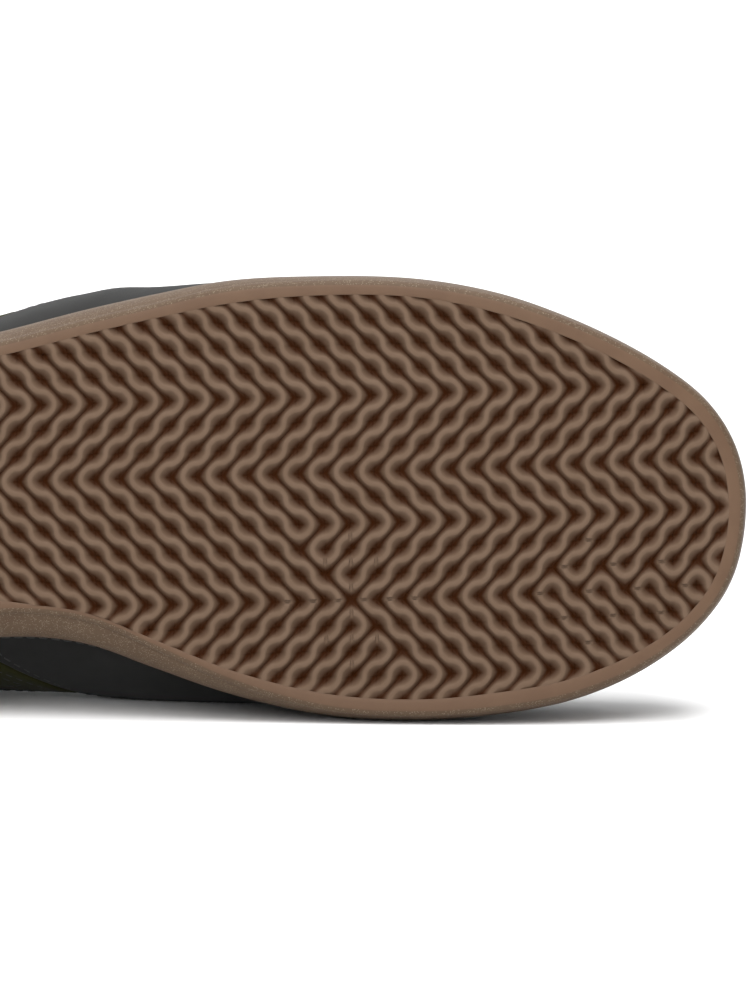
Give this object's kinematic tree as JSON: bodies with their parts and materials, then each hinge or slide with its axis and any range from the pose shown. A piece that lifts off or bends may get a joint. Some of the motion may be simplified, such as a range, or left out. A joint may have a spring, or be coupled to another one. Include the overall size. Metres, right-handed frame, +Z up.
{
  "type": "skateboarding shoe",
  "caption": "Low right skateboarding shoe with a gum rubber cup sole, herringbone tread and padded suede upper, lying on its medial side.",
  "frame": {"origin": "centre of the footprint, on the floor that the shoe lies on", "axes": "+X towards the toe, +Z up with the lateral side on top, the sole faces -Y"},
  "size_m": [0.2978, 0.1166, 0.1099],
  "materials": {
    "gum": "matte moulded gum rubber",
    "suede": "charcoal suede",
    "olive_suede": "dark olive suede",
    "lining": "padded textile",
    "insole": "textile over foam",
    "lace": "flat woven lace",
    "eyelet": "black enamel"
  },
  "bodies": {
    "root": {"outsole": "gum", "insole": "insole", "upper": "suede", "collar": "lining", "tongue": "lining", "eyestay": "suede", "toe_cap": "suede", "heel_counter": "olive_suede", "quarter_lateral": "suede", "quarter_medial": "suede", "eyelet_lateral_1": "eyelet", "eyelet_lateral_2": "eyelet", "eyelet_lateral_3": "eyelet", "eyelet_lateral_4": "eyelet", "eyelet_lateral_5": "eyelet", "eyelet_lateral_6": "eyelet", "eyelet_medial_1": "eyelet", "eyelet_medial_2": "eyelet", "eyelet_medial_3": "eyelet", "eyelet_medial_4": "eyelet", "eyelet_medial_5": "eyelet", "eyelet_medial_6": "eyelet", "lace_bar_1": "lace", "lace_bar_2": "lace", "lace_bar_3": "lace", "lace_bar_4": "lace", "lace_bar_5": "lace", "lace_bar_6": "lace"}
  },
  "joints": []
}
